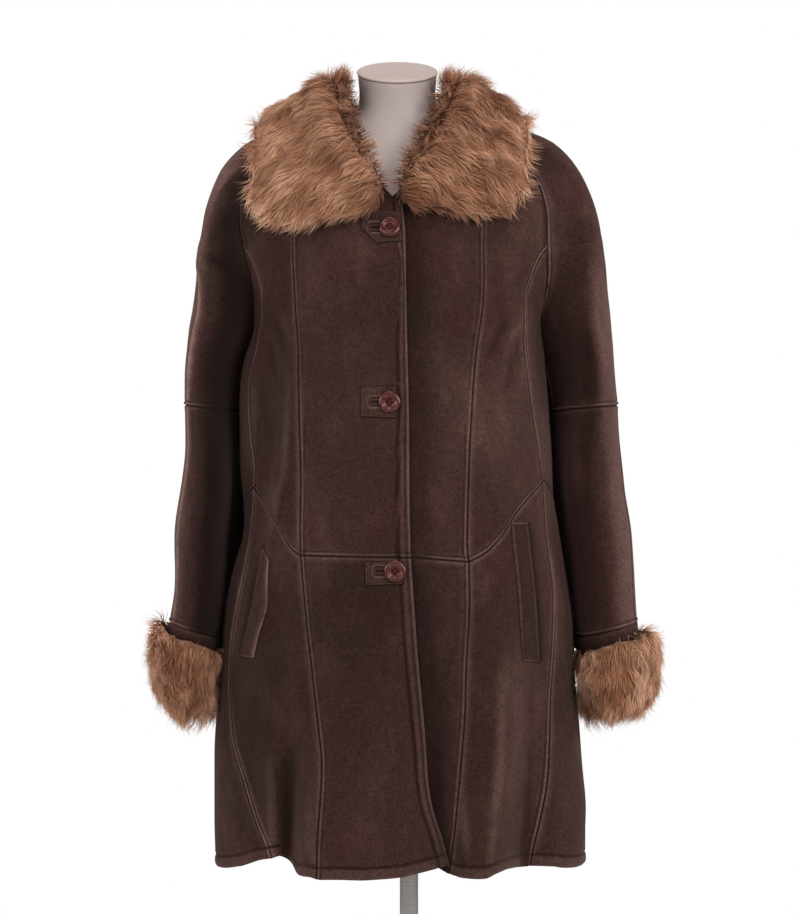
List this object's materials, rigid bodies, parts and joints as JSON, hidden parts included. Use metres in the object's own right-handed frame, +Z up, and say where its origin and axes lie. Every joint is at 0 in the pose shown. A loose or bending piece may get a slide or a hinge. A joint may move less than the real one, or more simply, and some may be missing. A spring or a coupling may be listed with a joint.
{
  "type": "shearling coat on a dress form stand",
  "caption": "Single-breasted suede shearling coat with raglan sleeves, fur collar and fur cuffs, buttoned on a limbless dress form with pole and round base.",
  "frame": {"origin": "on the floor, in the middle of the base plate's underside, on the pole's axis", "axes": "+Z up along the pole, +X toward the wearer's left, -Y the way the coat faces"},
  "size_m": [0.621, 0.35, 1.4994],
  "materials": {
    "suede": "matt napped suede, lighter along its seams",
    "suede trim": "matt suede of the patches, welts and cuff bands",
    "fur": "long tan fur in soft locks",
    "button": "polished red-brown horn imitation",
    "form": "smooth matt off-white",
    "form cap": "smooth matt, a little darker than the form",
    "steel": "satin metal"
  },
  "bodies": {
    "root": {"front_right_centre_upper": "suede", "front_right_centre_lower": "suede", "front_right_side_upper": "suede", "front_right_side_lower": "suede", "underarm_right_upper": "suede", "underarm_right_lower": "suede", "back_right_upper": "suede", "back_right_lower": "suede", "sleeve_right_front_upper": "suede", "sleeve_right_front_lower": "suede", "sleeve_right_back_upper": "suede", "sleeve_right_back_lower": "suede", "cuff_band_right": "suede trim", "fur_cuff_right": "fur", "front_left_centre_upper": "suede", "front_left_centre_lower": "suede", "front_left_side_upper": "suede", "front_left_side_lower": "suede", "underarm_left_upper": "suede", "underarm_left_lower": "suede", "back_left_upper": "suede", "back_left_lower": "suede", "sleeve_left_front_upper": "suede", "sleeve_left_front_lower": "suede", "sleeve_left_back_upper": "suede", "sleeve_left_back_lower": "suede", "cuff_band_left": "suede trim", "fur_cuff_left": "fur", "fur_collar": "fur", "buttonhole_patch_top": "suede trim", "buttonhole_patch_middle": "suede trim", "buttonhole_patch_low": "suede trim", "pocket_welt_right": "suede trim", "pocket_welt_left": "suede trim", "button_top": "button", "button_middle": "button", "button_low": "button", "dress_form": "form", "neck_cap": "form cap", "pole": "steel", "base_plate": "steel"}
  },
  "joints": []
}
